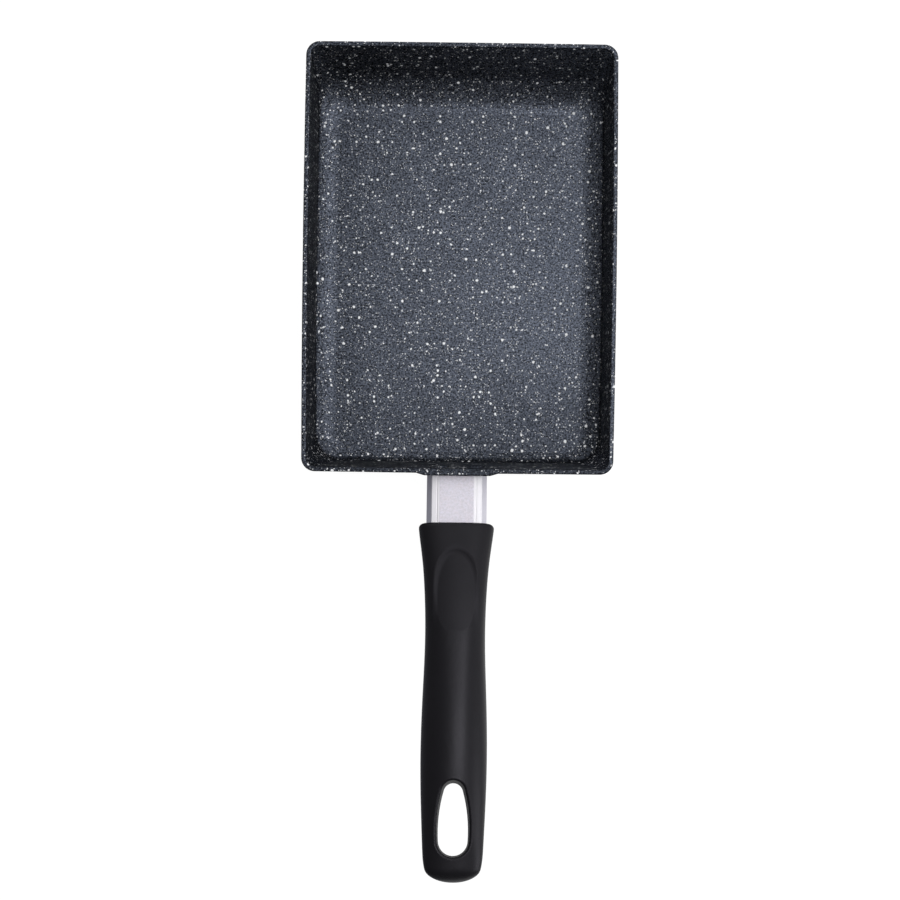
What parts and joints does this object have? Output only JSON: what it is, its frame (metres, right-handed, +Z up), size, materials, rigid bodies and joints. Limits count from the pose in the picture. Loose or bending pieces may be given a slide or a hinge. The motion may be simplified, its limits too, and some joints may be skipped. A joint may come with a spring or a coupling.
{
  "type": "rectangular omelette pan",
  "caption": "Rectangular rolled-omelette pan with a laid-back far wall, a metal neck sleeve and a moulded handle with a hanging hole.",
  "frame": {"origin": "on the resting face of the tray, below the middle of the rim", "axes": "+Z up, +Y along the tray away from the handle, +X across the tray"},
  "size_m": [0.1312, 0.345, 0.0597],
  "materials": {
    "coating": "satin, speckled",
    "rivet": "satin",
    "aluminium": "satin",
    "steel": "satin",
    "grip": "satin"
  },
  "bodies": {
    "root": {"pan_body": "coating", "rivet_left": "rivet", "rivet_right": "rivet", "handle_bracket": "steel", "flame_guard": "aluminium", "weld_nut": "steel", "flat_washer": "steel", "spring_washer": "steel", "handle_screw": "steel", "handle_grip": "grip"}
  },
  "joints": []
}
